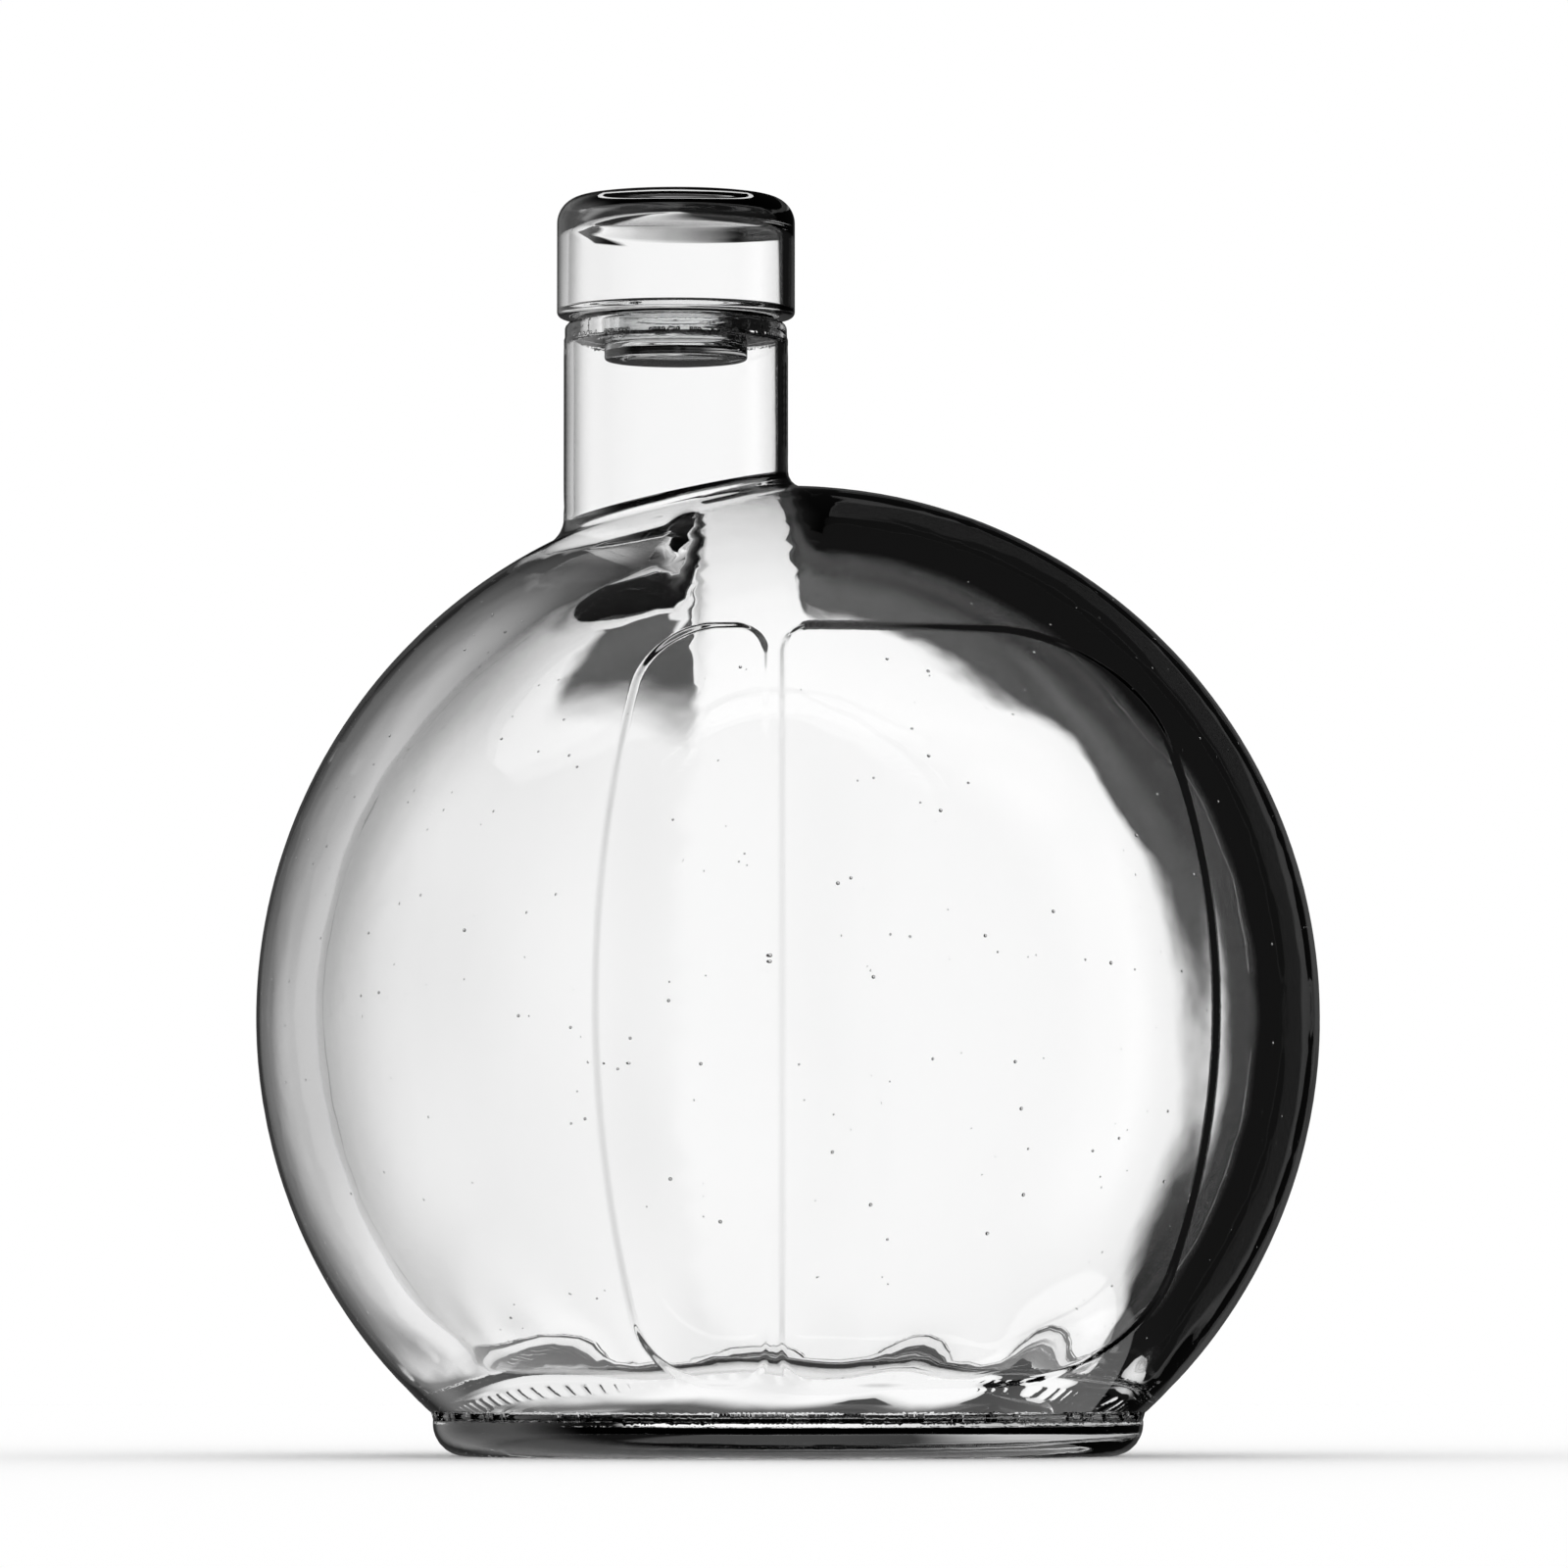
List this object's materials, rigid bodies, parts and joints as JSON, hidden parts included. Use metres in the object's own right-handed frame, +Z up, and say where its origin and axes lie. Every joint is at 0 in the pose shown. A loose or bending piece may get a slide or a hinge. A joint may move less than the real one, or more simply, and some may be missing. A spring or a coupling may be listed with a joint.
{
  "type": "liquor bottle",
  "caption": "Clear glass globe spirits bottle with an off-centre neck, pressed windows, ring foot and a lift-out glass stopper with a soft seal.",
  "frame": {"origin": "middle of the foot's resting ring, in the plane that the bottle stands on, on the globe's axis", "axes": "+Z up through the globe to the stopper, front with two windows towards -Y, neck offset towards -X"},
  "size_m": [0.1312, 0.1312, 0.1558],
  "materials": {
    "bottle_glass": "clear, fire polished",
    "stopper_glass": "clear, polished",
    "clear_seal": "soft, clear to milky"
  },
  "bodies": {
    "bottle": {"bottle": "bottle_glass"},
    "stopper": {"glass_stopper": "stopper_glass", "stopper_seal": "clear_seal"}
  },
  "joints": [
    {"name": "stopper_lift", "type": "slide", "parent": "bottle", "child": "stopper", "axis": [0, 0, 1], "range_m": [0, 0.013]}
  ]
}
